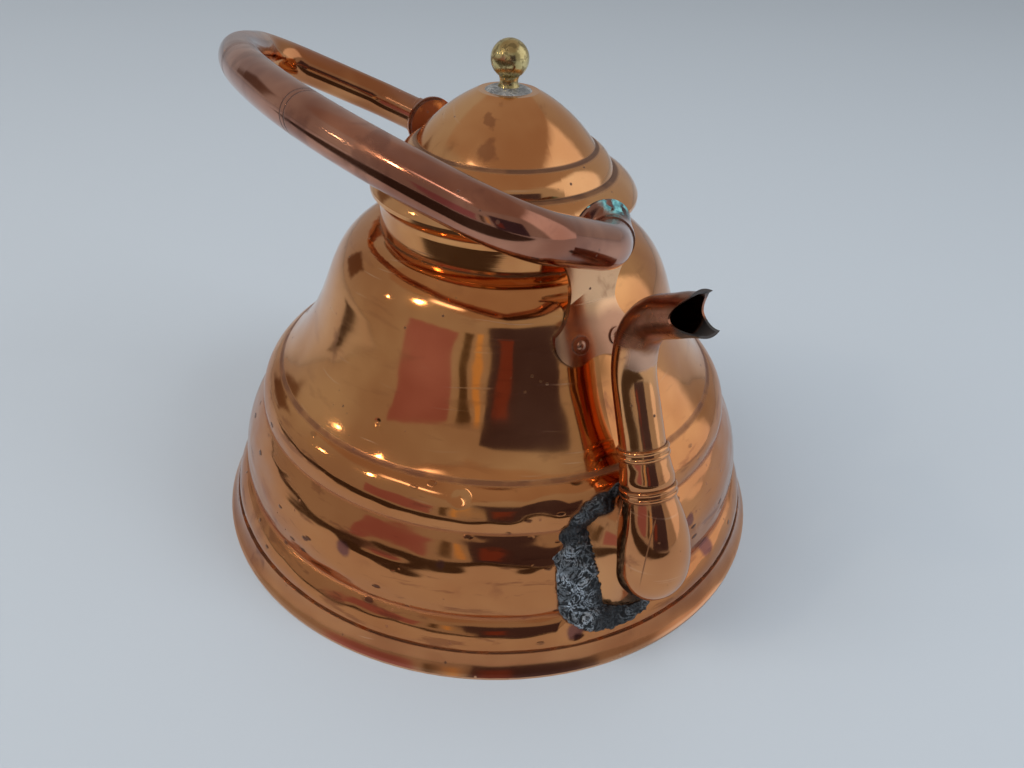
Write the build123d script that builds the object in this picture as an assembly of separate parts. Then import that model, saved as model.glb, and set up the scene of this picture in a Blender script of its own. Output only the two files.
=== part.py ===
from build123d import *
import math
import os

# A copper kettle: a bell body on a ribbed skirt, a gooseneck spout with an open beak, a loose domed lid and
# a hollow horseshoe handle that swings on two ears.
# Millimetres. Z is up and the origin is the middle of the base, on the table. The spout points along +X.
# The handle swings about a line along X, over the spout and the back, and stands leaned toward -Y.

# Sheet thickness
body_sheet = 1.4
base_sheet = 1.3
neck_sheet = 1.4
spout_sheet = 1.2
lid_sheet = 1.2
collar_sheet = 1.2
ear_thickness = 2.4
handle_wall = 1.3

# Base pan, with its edge turned up round the foot of the skirt
base_radius = 180.0
base_edge_height = 1.5
rim_band_step = 5.9
rim_band_height = 14.0
rim_band_hollow = 1.0
seam_solder_width = 6.0
seam_solder_share = 0.5

# Skirt: three rounded ribs between sharp creases, each a step in and a rise from the one before
lower_crease_step = 9.6
lower_crease_rise = 18.0
middle_crease_step = 14.4
middle_crease_rise = 48.5
upper_groove_step = 13.4
upper_groove_rise = 23.5
lower_rib_bulge = 2.8
middle_rib_bulge = 5.0
upper_rib_bulge = 3.9

# Bell: the hollow flank, and the shoulder that rolls over to the neck, in steps and rises too
flank_low_step = 15.7
flank_low_rise = 19.0
flank_middle_step = 10.2
flank_middle_rise = 19.0
flank_high_step = 6.9
flank_high_rise = 18.0
shoulder_step = 7.5
shoulder_rise = 15.5
shoulder_round_step = 11.0
shoulder_round_rise = 11.3
neck_step = 13.2
neck_foot_rise = 4.2

# Neck
neck_tuck = 7.0
neck_straight_rise = 14.0
neck_flare = 3.2
neck_flare_rise = 8.6

# Lid: two stepped ribs and a dome with a flat boss
lid_gap = 0.3
lid_overhang = 2.0
lid_edge_depth = 2.1
lid_rib_step = 15.4
lid_rib_rise = 12.0
lid_crown_step = 11.1
lid_crown_rise = 12.4
lid_edge_bulge = 2.4
lid_step_bulge = 2.2
lid_dome_bulge = 2.6
lid_boss_radius = 17.0
lid_boss_rise = 27.8
lid_collar_clearance = 0.6
lid_collar_drop = 11.0

# Where those steps and rises lead
rim_band_radius = base_radius - rim_band_step
lower_crease_radius = rim_band_radius - lower_crease_step
lower_crease_height = rim_band_height + lower_crease_rise
middle_crease_radius = lower_crease_radius - middle_crease_step
middle_crease_height = lower_crease_height + middle_crease_rise
upper_groove_radius = middle_crease_radius - upper_groove_step
upper_groove_height = middle_crease_height + upper_groove_rise
flank_low_radius = upper_groove_radius - flank_low_step
flank_low_height = upper_groove_height + flank_low_rise
flank_middle_radius = flank_low_radius - flank_middle_step
flank_middle_height = flank_low_height + flank_middle_rise
flank_high_radius = flank_middle_radius - flank_high_step
flank_high_height = flank_middle_height + flank_high_rise
shoulder_radius = flank_high_radius - shoulder_step
shoulder_height = flank_high_height + shoulder_rise
shoulder_round_radius = shoulder_radius - shoulder_round_step
shoulder_round_height = shoulder_height + shoulder_round_rise
neck_radius = shoulder_round_radius - neck_step
mouth_height = shoulder_round_height + neck_foot_rise
neck_straight_top = mouth_height + neck_straight_rise
neck_rim_radius = neck_radius + neck_flare
neck_top = neck_straight_top + neck_flare_rise
lid_rest = neck_top + lid_gap
lid_edge_radius = neck_rim_radius + lid_overhang
lid_inner_radius = lid_edge_radius - lid_sheet
lid_edge_top = lid_rest + lid_edge_depth
lid_rib_radius = lid_edge_radius - lid_rib_step
lid_rib_height = lid_edge_top + lid_rib_rise
lid_crown_radius = lid_rib_radius - lid_crown_step
lid_crown_height = lid_rib_height + lid_crown_rise
lid_boss_height = lid_crown_height + lid_boss_rise

# Knob
knob_foot_diameter = 13.6
knob_neck_diameter = 10.4
knob_neck_rise = 3.8
knob_waist_diameter = 11.6
knob_ball_diameter = 20.8
knob_shank_diameter = 6.0
knob_washer_diameter = 16.0
knob_washer_thickness = 1.2
knob_peen_diameter = 8.6
knob_peen_height = 1.8
knob_solder_diameter = 26.0
knob_solder_height = 1.6
knob_solder_round = 0.8

# Spout: a bulb on the wall, two straight pieces and a bend
bulb_below_crease = 16.5
bulb_standoff = 10.6
bulb_diameter = 42.0
bulb_depth = 24.0
spout_root_diameter = 25.2
spout_mouth_diameter = 20.6
middle_low_diameter = 28.0
middle_high_diameter = 25.6
middle_belly = 0.55
lower_joint_in = 11.0
lower_joint_rise = 41.0
upper_joint_rise = 19.5
bend_in = 26.2
bend_start_rise = 59.4
bend_end_rise = 88.4
mouth_out = 14.5
mouth_rise = 111.4
lower_bend_radius = 46.0
upper_bend_radius = 29.0
lip_length = 13.0
beak_sections = 14
lip_flare = 0.6
lip_blunt = 0.86
lower_collar_diameter = 29.7
upper_collar_diameter = 26.8
spout_collar_length = 6.0
spout_collar_round = 1.1
spout_collar_fit = 0.08

# Throat where the bulb opens onto the wall, and the tin run round it
throat_below_bulb = 36.0
throat_above_bulb = 33.5
throat_half_width = 30.0
throat_reach = 20.0
throat_neck_share = 0.62
spout_hole_half_width = 15.0
spout_hole_half_height = 19.0
spout_solder_thickness = 1.2
spout_solder_margin = 3.2
spout_solder_smear = 20.0
smear_direction = 206.0
smear_width = 66.0
smear_ragged = 1.5
smear_teeth = 7.0

# Ears
ear_off_neck = 22.8
ear_leaves_shoulder = 3.5
ear_upright_rise = 1.0
ear_lobe_radius = 11.5
ear_lobe_out = 14.0
ear_lobe_rise = 6.0
ear_lobe_foot = -115.0
ear_lobe_middle = -45.0
ear_lobe_top = 20.0
ear_notch_rise = 2.4
ear_waist_half_width = 14.0
ear_waist_drop = 3.0
ear_horn_half_width = 22.5
ear_horn_drop = 12.0
ear_horn_hollow = 1.2
ear_head_radius = 15.8
ear_head_foot = -25.0
ear_head_middle = 30.0
ear_drill = 15.0

# Ear rivets
rivet_inside_lobe = 2.6
rivet_below_lobe = 2.0
rivet_diameter = 4.4
rivet_head_diameter = 9.0
rivet_head_height = 2.4
rove_diameter = 9.6
rove_thickness = 1.0
rivet_peen_diameter = 5.4
rivet_peen_height = 1.3

# Handle: a horseshoe of tube, drawn upright above the pivot line
pivot_over_neck = 9.4
handle_lean = 66.0
handle_diameter = 21.6
throat_out = 15.5
throat_rise = 6.0
limb_corner_out = 33.0
limb_corner_rise = 23.0
front_elbow_out = 58.5
back_elbow_out = 71.0
elbow_rise = 92.0
crown_corner_half = 68.5
crown_rise = 145.0
limb_bend = 40.0
elbow_bend = 29.0
crown_bend = 235.0
flare_rim_diameter = 34.0
flare_sleeve = 0.6
cap_thickness = 1.6

# Pivot pins
ear_to_cap_gap = 0.3
pin_diameter = 6.0
pin_clearance = 0.08
pin_head_diameter = 11.0
pin_head_height = 2.2
pin_rove_diameter = 12.0
pin_rove_thickness = 1.2
pin_rove_gap = 0.3
pin_peen_diameter = 8.4
pin_peen_height = 1.8

# Places that hang on the body
bulb_height = middle_crease_height - bulb_below_crease
throat_low = bulb_height - throat_below_bulb
throat_high = bulb_height + throat_above_bulb
ear_face = neck_radius + ear_off_neck
ear_leaves_wall = shoulder_height - ear_leaves_shoulder
ear_upright_from = mouth_height + ear_upright_rise
ear_lobe_height = flank_high_height + ear_lobe_rise
ear_waist_height = mouth_height - ear_waist_drop
pivot_height = neck_top + pivot_over_neck
ear_horn_height = pivot_height - ear_horn_drop
rivet_out = ear_lobe_out - rivet_inside_lobe
rivet_height = ear_lobe_height - rivet_below_lobe


def bulged(start, end, bulge):
    # An arc between two points, bulging to the right of the way from start to end
    a = Vector(start)
    b = Vector(end)
    way = (b - a).normalized()
    top = (a + b) * 0.5 + Vector(way.Y, -way.X) * bulge
    return [a, top, b]


def run_edge(run):
    # Two points are a line, three an arc, more a smooth curve
    if len(run) == 2:
        return Line(*run)
    if len(run) == 3:
        return ThreePointArc(*run)
    return Spline(*run)


def left_normals(run):
    edge = run_edge(run)
    tangents = [edge.tangent_at(edge.param_at_point(point)) for point in run]
    return [Vector(-t.Y, t.X) for t in tangents]


def shifted(runs, distance):
    # The same outline moved to its left by a distance, with its corners kept sharp
    normals = [left_normals(run) for run in runs]
    moved = []
    for run, sides in zip(runs, normals):
        moved.append([point + side * distance for point, side in zip(run, sides)])
    for first in range(len(runs) - 1):
        before = normals[first][-1]
        after = normals[first + 1][0]
        mitre = (before + after) * (distance / (1 + before.dot(after)))
        moved[first][-1] = runs[first][-1] + mitre
        moved[first + 1][0] = moved[first][-1]
    return moved


def turned(edges):
    # Spins a closed radius and height outline round the upright axis
    return revolve(Plane.XZ * make_face(edges), axis=Axis.Z)


def turned_sheet(runs, thickness):
    inside = shifted(runs, thickness)
    edges = [run_edge(run) for run in runs] + [run_edge(run) for run in inside]
    edges.append(Line(runs[0][0], inside[0][0]))
    edges.append(Line(runs[-1][-1], inside[-1][-1]))
    return turned(edges)


def filled(runs):
    # Everything between an outline and the upright axis
    start = runs[0][0]
    end = runs[-1][-1]
    edges = [run_edge(run) for run in runs]
    edges.append(Polyline(start, (0, start.Y), (0, end.Y), end))
    return turned(edges)


def rim_band_run():
    return bulged((base_radius, base_edge_height), (rim_band_radius, rim_band_height), -rim_band_hollow)


def rim_runs():
    return [[Vector(base_radius, 0), Vector(base_radius, base_edge_height)], rim_band_run()]


def body_runs():
    # Outside of the body, from the foot inside the rim band up to the mouth
    foot = shifted(rim_runs(), base_sheet)[1]
    lower_crease = (lower_crease_radius, lower_crease_height)
    middle_crease = (middle_crease_radius, middle_crease_height)
    groove = (upper_groove_radius, upper_groove_height)
    bell = [
        Vector(*groove),
        Vector(flank_low_radius, flank_low_height),
        Vector(flank_middle_radius, flank_middle_height),
        Vector(flank_high_radius, flank_high_height),
        Vector(shoulder_radius, shoulder_height),
        Vector(shoulder_round_radius, shoulder_round_height),
        Vector(neck_radius, mouth_height),
    ]
    return [
        foot,
        bulged(foot[-1], lower_crease, lower_rib_bulge),
        bulged(lower_crease, middle_crease, middle_rib_bulge),
        bulged(middle_crease, groove, upper_rib_bulge),
        bell,
    ]


outside = body_runs()
outside_edges = [run_edge(run) for run in outside]
body_bulk = filled(outside)


def wall_at(height):
    # Radius of the outside of the body at a height, and the way its outline runs there
    edge = [e for e in outside_edges if (e @ 0).Y <= height][-1]
    low = 0.0
    high = 1.0
    for _ in range(40):
        middle = (low + high) / 2
        if (edge @ middle).Y < height:
            low = middle
        else:
            high = middle
    return (edge @ low).X, edge % low


def frame_at(path, place):
    # A plane square to a path in the XZ plane, with its X along Y
    return Plane(origin=path @ place, x_dir=(0, 1, 0), z_dir=path % place)


# Spout path
wall_at_bulb = wall_at(bulb_height)[0]
bulb_x = wall_at_bulb + bulb_standoff
joint_x = bulb_x - lower_joint_in
joint_z = bulb_height + lower_joint_rise
spout_path = FilletPolyline(
    (joint_x, 0, joint_z),
    (joint_x - bend_in, 0, joint_z + bend_start_rise),
    (joint_x - bend_in, 0, joint_z + bend_end_rise),
    (joint_x + mouth_out, 0, joint_z + mouth_rise),
    radius=[lower_bend_radius, upper_bend_radius],
)
bulb_path = Spline(
    (bulb_x, 0, bulb_height),
    (joint_x, 0, joint_z),
    tangents=[(0, 0, 1), spout_path % 0],
)
upper_joint = upper_joint_rise / (spout_path % 0).Z / spout_path.length


def spout_radius(place):
    return (spout_root_diameter + (spout_mouth_diameter - spout_root_diameter) * place) / 2


def spout_bar(places, radii):
    # A bar along the spout's path, with a radius at each of its places
    return loft([frame_at(spout_path, place) * Circle(radius) for place, radius in zip(places, radii)])


def bulb_bar(inset):
    # A rounded bottom, and above it a body that narrows along a bent centre line to the first joint
    widest = bulb_diameter / 2 - inset
    depth = bulb_depth - inset
    half_way = (widest * math.sqrt(0.5), -depth * math.sqrt(0.5))
    quarter = make_face([
        Spline((0, -depth), half_way, (widest, 0), tangents=[(1, 0), (0, 1)]),
        Polyline((widest, 0), (0, 0), (0, -depth)),
    ])
    bottom = Pos(bulb_x, 0, bulb_height) * revolve(Plane.XZ * quarter, axis=Axis.Z)
    narrowing = (bulb_diameter - spout_root_diameter) / 2
    steps = 7
    sections = []
    for step in range(steps + 1):
        place = step / steps
        radius = spout_root_diameter / 2 + narrowing * math.cos(place * math.pi / 2)
        sections.append(frame_at(bulb_path, place) * Circle(radius - inset))
    return bottom + loft(sections)


# The throat's foot spans the wall from its low to its high point
throat_low_radius = wall_at(throat_low)[0]
throat_high_radius = wall_at(throat_high)[0]
throat_half_height = math.hypot(throat_high - throat_low, throat_low_radius - throat_high_radius) / 2


def throat_plane(reach):
    # Square to the way out of the wall, a reach beyond the line from the low to the high point
    up = Vector(throat_high_radius - throat_low_radius, 0, throat_high - throat_low).normalized()
    middle = Vector(throat_high_radius + throat_low_radius, 0, throat_high + throat_low) * 0.5
    return Plane(origin=middle, x_dir=(0, 1, 0), z_dir=(up.Z, 0, -up.X)).offset(reach)


def throat_bar(inset):
    # Ovals that spread like a trumpet towards the wall, carried on straight past it
    steps = 4
    sections = []
    for step in range(-1, steps + 1):
        place = step / steps
        share = throat_neck_share + (1 - throat_neck_share) * (1 - max(0, place)) ** 2
        half_width = throat_half_width * share - inset
        half_height = throat_half_height * share - inset
        reach = place * throat_reach if step >= 0 else -throat_half_width
        sections.append(throat_plane(reach) * Ellipse(half_width, half_height))
    return loft(sections)


def make_spout_bulb():
    outer = bulb_bar(0) + throat_bar(0)
    inner = bulb_bar(spout_sheet) + throat_bar(spout_sheet)
    return outer - inner - body_bulk


def middle_bar(inset):
    # Straight under each collar, and a low belly between them
    low = middle_low_diameter / 2 - inset
    high = middle_high_diameter / 2 - inset
    under = spout_collar_length / 2 / spout_path.length
    places = [0, under, 2 * under, upper_joint / 2, upper_joint - 2 * under, upper_joint - under, upper_joint]
    radii = [low, low, low + middle_belly, (low + high) / 2 + middle_belly, high + middle_belly, high, high]
    return spout_bar(places, radii)


def make_spout_middle():
    return middle_bar(0) - middle_bar(spout_sheet)


def beak_bar(inset):
    places = [upper_joint + (1 - upper_joint) * step / beak_sections for step in range(beak_sections + 1)]
    radii = [spout_radius(place) - inset for place in places]
    radii[-1] += lip_flare
    return spout_bar(places, radii)


def make_spout_beak():
    # The round side notches part the lips
    end = frame_at(spout_path, 1)
    half = spout_mouth_diameter / 2 * lip_blunt
    past = lip_length / 2
    notch = make_face([
        Spline((past, half), (0, half), (-lip_length, 0), (0, -half), (past, -half), tangents=[(-1, 0), (1, 0)]),
        Line((past, -half), (past, half)),
    ])
    side = Plane(origin=end.origin, x_dir=end.z_dir, z_dir=(0, 1, 0))
    shell = beak_bar(0) - beak_bar(spout_sheet)
    return shell - extrude(side * notch, amount=spout_mouth_diameter, both=True)


def spout_collar(place, diameter, below, above):
    # A ring whose bore steps from the piece below the joint to the piece above it
    ring = Cylinder(diameter / 2, spout_collar_length)
    ring = fillet(ring.edges(), spout_collar_round)
    for radius, side in ((below, -1), (above, 1)):
        middle = side * spout_collar_length / 2
        ring -= Pos(0, 0, middle) * Cylinder(radius + spout_collar_fit, spout_collar_length)
    return frame_at(spout_path, place).location * ring


def make_spout_lower_collar():
    ring = spout_collar(0, lower_collar_diameter, spout_radius(0), middle_low_diameter / 2)
    return ring - bulb_bar(0) - throat_bar(0)


def make_spout_upper_collar():
    return spout_collar(upper_joint, upper_collar_diameter, middle_high_diameter / 2, spout_radius(upper_joint))


def solder_outline():
    # The edge of the tin: a margin round the throat, and a smear down one side of the skirt
    points = []
    count = 24
    for step in range(count):
        angle = 360 / count * step
        across = math.cos(math.radians(angle)) / throat_half_width
        along = math.sin(math.radians(angle)) / throat_half_height
        reach = 1 / math.hypot(across, along) + spout_solder_margin
        off = abs(angle - smear_direction)
        if off < smear_width:
            fade = math.cos(math.radians(off / smear_width * 90))
            reach += fade * (spout_solder_smear + smear_ragged * math.sin(math.radians(angle * smear_teeth)))
        points.append((reach * math.cos(math.radians(angle)), reach * math.sin(math.radians(angle))))
    return Spline(*points, periodic=True)


def make_spout_solder(bulb):
    skin = filled(shifted(outside, -spout_solder_thickness)) - body_bulk
    patch = extrude(throat_plane(-throat_half_height) * make_face(solder_outline()),
                    amount=2 * throat_half_height)
    hollow = throat_bar(0) + bulb_bar(0)
    return (skin & patch) - hollow - bulb


def rivet_frame(side, out=0.0):
    # On the outside of the wall at one rivet, square to the wall
    radius, way = wall_at(rivet_height)
    turn = math.asin(rivet_out / radius) * side
    out_r = way.Y
    out_z = -way.X
    normal = Vector(out_r * math.cos(turn), out_r * math.sin(turn), out_z)
    origin = Vector(radius * math.cos(turn), radius * math.sin(turn), rivet_height)
    return Plane(origin=origin + normal * out, z_dir=normal)


def ear_sheet():
    # A ribbon that follows the flank and stands up off the shoulder, run into an upright plate
    low = ear_lobe_height - ear_lobe_radius
    points = []
    for level in [low - ear_lobe_radius, low, ear_lobe_height, ear_leaves_wall]:
        radius, way = wall_at(level)
        points.append(Vector(radius + way.Y * ear_thickness, level - way.X * ear_thickness))
    points.append(Vector(ear_face, ear_upright_from))
    points.append(Vector(ear_face, ear_upright_from + ear_thickness))
    ribbon = turned_sheet([points], ear_thickness)
    top = pivot_height + ear_head_radius
    bottom = (ear_leaves_wall + ear_upright_from) / 2 - ear_thickness
    plate = Pos(ear_face - ear_thickness / 2, 0, (top + bottom) / 2)
    return ribbon + plate * Box(ear_thickness, ear_face, top - bottom)


def ear_outline():
    # Two lobes at the foot, a waist, two horns, and a round head about the pivot
    lobe = Vector(ear_lobe_out, ear_lobe_height)

    def on_lobe(angle):
        return lobe + Vector(ear_lobe_radius, 0).rotate(Axis.Z, angle)

    foot = on_lobe(ear_lobe_foot)
    side = on_lobe(ear_lobe_top)
    waist = Vector(ear_waist_half_width, ear_waist_height)
    horn = Vector(ear_horn_half_width, ear_horn_height)
    pivot = Vector(0, pivot_height)
    joins_head = pivot + Vector(ear_head_radius, 0).rotate(Axis.Z, ear_head_foot)
    head_middle = pivot + Vector(ear_head_radius, 0).rotate(Axis.Z, ear_head_middle)
    crown = pivot + Vector(0, ear_head_radius)
    half = [
        ThreePointArc(foot, on_lobe(ear_lobe_middle), side),
        TangentArc(waist, side, tangent=(0, -1)),
        TangentArc(waist, horn, tangent=(0, 1)),
        run_edge(bulged(horn, joins_head, -ear_horn_hollow)),
        ThreePointArc(joins_head, head_middle, crown),
    ]
    notch = ThreePointArc((-foot.X, foot.Y), (0, foot.Y + ear_notch_rise), foot)
    other_half = [ThreePointArc(*[(-(arc @ u).X, (arc @ u).Y) for u in (1, 0.5, 0)]) for arc in reversed(half)]
    return make_face(half + other_half + [notch])


def make_ear():
    plate = extrude(Plane.YZ * ear_outline(), amount=base_radius)
    ear = (ear_sheet() & plate) - body_bulk
    for side in (-1, 1):
        ear -= rivet_frame(side).location * Cylinder(rivet_diameter / 2, ear_drill)
    return ear - pin_bar(pin_diameter / 2, -ear_drill, ear_drill)


def dome(radius, height):
    # A low round head that stands on its origin
    reach = (radius ** 2 + height ** 2) / (2 * height)
    ball = Pos(0, 0, height - reach) * Sphere(reach)
    return ball & Pos(0, 0, height / 2) * Cylinder(radius, height)


def make_rivet(side):
    shank_top = ear_thickness + rove_thickness
    shank_length = body_sheet + shank_top
    shank = Pos(0, 0, shank_length / 2 - body_sheet) * Cylinder(rivet_diameter / 2, shank_length)
    peen = Pos(0, 0, shank_top) * dome(rivet_peen_diameter / 2, rivet_peen_height)
    head = Pos(0, 0, -body_sheet) * Rot(180, 0, 0) * dome(rivet_head_diameter / 2, rivet_head_height)
    return rivet_frame(side).location * (shank + peen + head)


def make_ear_rivets(shell):
    return [make_rivet(side) - shell for side in (-1, 1)]


def make_ear_roves(ear):
    roves = []
    for side in (-1, 1):
        ring = Cylinder(rove_diameter / 2, rove_thickness * 2) - Cylinder(rivet_diameter / 2, ear_drill)
        place = rivet_frame(side, ear_thickness).location
        roves.append(place * ring - ear)
    return roves


def pin_bar(radius, start, end):
    # A bar along the pivot line, measured from the ear's outer face
    middle = ear_face + (start + end) / 2
    return Pos(middle, 0, pivot_height) * Rot(0, 90, 0) * Cylinder(radius, end - start)


cap_start = ear_to_cap_gap
cap_end = cap_start + cap_thickness
rove_start = cap_end + pin_rove_gap
rove_end = rove_start + pin_rove_thickness


def make_pivot_pin():
    shank = pin_bar(pin_diameter / 2, -ear_thickness, rove_end)
    head_place = Pos(ear_face - ear_thickness, 0, pivot_height) * Rot(0, -90, 0)
    head = head_place * dome(pin_head_diameter / 2, pin_head_height)
    peen_place = Pos(ear_face + rove_end, 0, pivot_height) * Rot(0, 90, 0)
    peen = peen_place * dome(pin_peen_diameter / 2, pin_peen_height)
    return shank + head + peen


def make_pivot_rove():
    ring = pin_bar(pin_rove_diameter / 2, rove_start, rove_end)
    return ring - pin_bar(pin_diameter / 2, 0, rove_end + pin_rove_thickness)


def leaned(upright):
    # From the handle's own upright drawing, with the pivot at its origin, to where it stands
    return Pos(0, 0, pivot_height) * Rot(handle_lean, 0, 0) * upright


throat_start = ear_face + throat_out


def limb(elbow_out, side):
    # One limb's points from its trumpet up to the crown; the two elbows aren't bent quite alike
    points = [
        (throat_start, throat_rise),
        (ear_face + limb_corner_out, limb_corner_rise),
        (ear_face + elbow_out, elbow_rise),
        (crown_corner_half, crown_rise),
    ]
    return [(side * out, 0, rise) for out, rise in points]


handle_path = FilletPolyline(
    *limb(front_elbow_out, 1),
    *reversed(limb(back_elbow_out, -1)),
    radius=[limb_bend, elbow_bend, crown_bend, crown_bend, elbow_bend, limb_bend],
)
flare_path = Spline(
    (ear_face + cap_end, 0, 0),
    (throat_start, 0, throat_rise),
    tangents=[(1, 0, 0), handle_path % 0],
)


def make_handle_tube():
    outer = sweep(frame_at(handle_path, 0) * Circle(handle_diameter / 2), path=handle_path)
    bore = sweep(frame_at(handle_path, 0) * Circle(handle_diameter / 2 - handle_wall), path=handle_path)
    return leaned(outer - bore)


def flare_bar(end_radius, inset):
    steps = 6
    rim_radius = flare_rim_diameter / 2
    sections = []
    for step in range(steps + 1):
        place = step / steps
        radius = end_radius + (rim_radius - inset - end_radius) * (1 - place) ** 3
        sections.append(frame_at(flare_path, place) * Circle(radius))
    return loft(sections)


def make_handle_flare():
    tube_radius = handle_diameter / 2
    shell = flare_bar(tube_radius + flare_sleeve, 0) - flare_bar(tube_radius - handle_wall, handle_wall)
    return leaned(shell)


def make_handle_cap():
    disc = pin_bar(flare_rim_diameter / 2, cap_start, cap_end)
    return disc - pin_bar(pin_diameter / 2 + pin_clearance, 0, cap_end + cap_thickness)


def make_body_shell():
    shell = turned_sheet(outside, body_sheet)
    # The foot stands on the pan's floor, and the mouth fits the neck
    shell -= Pos(0, 0, base_sheet / 2) * Cylinder(base_radius, base_sheet)
    shell -= Pos(0, 0, mouth_height) * Cylinder(neck_radius, 4 * body_sheet)
    hole = extrude(throat_plane(-throat_half_height) * Ellipse(spout_hole_half_width, spout_hole_half_height),
                   amount=2 * throat_half_height)
    shell -= hole
    shank = Cylinder(rivet_diameter / 2, ear_drill)
    for turn in (0, 180):
        for side in (-1, 1):
            shell -= Rot(0, 0, turn) * rivet_frame(side).location * shank
    return shell


def make_base_pan():
    floor = Pos(0, 0, base_sheet / 2) * Cylinder(base_radius - base_sheet / 2, base_sheet)
    return turned_sheet(rim_runs(), base_sheet) + floor


def make_base_seam_solder(pan, shell):
    # A fillet of tin in the corner, from the pan's floor up the inside of the skirt
    top = run_edge(shifted(outside, body_sheet)[0]) @ seam_solder_share
    ring = turned([Polyline(
        (top.X - seam_solder_width, base_sheet),
        (base_radius, base_sheet),
        (base_radius, top.Y),
        (top.X, top.Y),
        (top.X - seam_solder_width, base_sheet),
    )])
    return (ring - pan - shell).solids().sort_by(SortBy.VOLUME)[-1]


def make_neck_collar():
    bottom = Vector(neck_radius, mouth_height - neck_tuck)
    straight = Vector(neck_radius, neck_straight_top)
    rim = Vector(neck_rim_radius, neck_top)
    over = TangentArc(straight, rim, tangent=(0, 1))
    runs = [[bottom, straight], [straight, over @ 0.5, rim]]
    neck = turned_sheet(runs, neck_sheet)
    return neck & Pos(0, 0, neck_top / 2) * Cylinder(base_radius, neck_top)


def lid_runs():
    edge_low = (lid_edge_radius, lid_rest)
    edge_high = (lid_edge_radius, lid_edge_top)
    step = (lid_rib_radius, lid_rib_height)
    crown = (lid_crown_radius, lid_crown_height)
    boss = (lid_boss_radius, lid_boss_height)
    return [
        [Vector(*edge_low), Vector(*edge_high)],
        bulged(edge_high, step, lid_edge_bulge),
        bulged(step, crown, lid_step_bulge),
        bulged(crown, boss, lid_dome_bulge),
        [Vector(*boss), Vector(knob_shank_diameter / 2, lid_boss_height)],
    ]


def make_lid_shell():
    return turned_sheet(lid_runs(), lid_sheet)


def make_lid_collar():
    outer = neck_radius - neck_sheet - lid_collar_clearance
    inner = outer - collar_sheet
    top = lid_rest + collar_sheet
    bottom = lid_rest - lid_collar_drop
    return turned([Polyline(
        (inner, bottom), (outer, bottom), (outer, lid_rest), (lid_inner_radius, lid_rest),
        (lid_inner_radius, top), (inner, top), (inner, bottom),
    )])


def make_knob():
    foot = knob_foot_diameter / 2
    neck = knob_neck_diameter / 2
    ball = knob_ball_diameter / 2
    shank = knob_shank_diameter / 2
    neck_height = lid_boss_height + knob_neck_rise
    # The ball sits where its surface meets the top of the neck's hollow
    ball_low = neck_height + knob_neck_rise
    waist = knob_waist_diameter / 2
    centre = ball_low + math.sqrt(ball ** 2 - waist ** 2)
    low = lid_boss_height - lid_sheet - knob_washer_thickness
    outline = [
        Line((0, low), (shank, low)),
        Line((shank, low), (shank, lid_boss_height)),
        Line((shank, lid_boss_height), (foot, lid_boss_height)),
        Spline((foot, lid_boss_height), (neck, neck_height), (waist, ball_low),
               tangents=[(-0.2, 1), (0.5, 1)]),
        ThreePointArc((waist, ball_low), (ball, centre), (0, centre + ball)),
        Line((0, centre + ball), (0, low)),
    ]
    peen = Pos(0, 0, low) * Rot(180, 0, 0) * dome(knob_peen_diameter / 2, knob_peen_height)
    return turned(outline) + peen


def make_knob_washer():
    top = lid_boss_height - lid_sheet
    ring = Cylinder(knob_washer_diameter / 2, knob_washer_thickness)
    ring -= Cylinder(knob_shank_diameter / 2, knob_washer_thickness)
    return Pos(0, 0, top - knob_washer_thickness / 2) * ring


def make_knob_solder(knob, lid):
    outer = knob_solder_diameter / 2
    inner = knob_shank_diameter / 2
    top = lid_boss_height + knob_solder_height
    shoulder = (outer * knob_solder_round, lid_boss_height + knob_solder_height * knob_solder_round)
    bead = turned([
        Line((inner, lid_boss_height), (outer, lid_boss_height)),
        ThreePointArc((outer, lid_boss_height), shoulder, (inner, top)),
        Line((inner, top), (inner, lid_boss_height)),
    ])
    return bead - knob - lid


def to_back(front):
    return Rot(0, 0, 180) * front


def save(name, *shapes):
    shape = shapes[0] if len(shapes) == 1 else Compound(children=list(shapes))
    export_step(shape, f"parts/{name}.step")


os.makedirs("parts", exist_ok=True)

shell = make_body_shell()
pan = make_base_pan()
save("body_shell", shell)
save("base_pan", pan)
save("base_seam_solder", make_base_seam_solder(pan, shell))
save("neck_collar", make_neck_collar())

bulb = make_spout_bulb()
save("spout_bulb", bulb)
save("spout_lower_collar", make_spout_lower_collar())
save("spout_middle", make_spout_middle())
save("spout_upper_collar", make_spout_upper_collar())
save("spout_beak", make_spout_beak())
save("spout_solder", make_spout_solder(bulb))

ear = make_ear()
ear_rivets = make_ear_rivets(shell)
ear_roves = make_ear_roves(ear)
pin = make_pivot_pin()
pin_rove = make_pivot_rove()
flare = make_handle_flare()
cap = make_handle_cap()
save("front_ear", ear)
save("back_ear", to_back(ear))
save("front_ear_rivets", *ear_rivets)
save("back_ear_rivets", *[to_back(rivet) for rivet in ear_rivets])
save("front_ear_roves", *ear_roves)
save("back_ear_roves", *[to_back(rove) for rove in ear_roves])
save("front_pivot_pin", pin)
save("back_pivot_pin", to_back(pin))
save("front_pivot_rove", pin_rove)
save("back_pivot_rove", to_back(pin_rove))

save("handle_tube", make_handle_tube())
save("handle_front_flare", flare)
save("handle_back_flare", mirror(flare, about=Plane.YZ))
save("handle_front_cap", cap)
save("handle_back_cap", to_back(cap))

lid = make_lid_shell()
knob = make_knob()
save("lid_shell", lid)
save("lid_collar", make_lid_collar())
save("lid_knob", knob)
save("knob_washer", make_knob_washer())
save("knob_solder", make_knob_solder(knob, lid))
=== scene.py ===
import math

import bpy
from mathutils import Matrix, Vector


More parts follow.
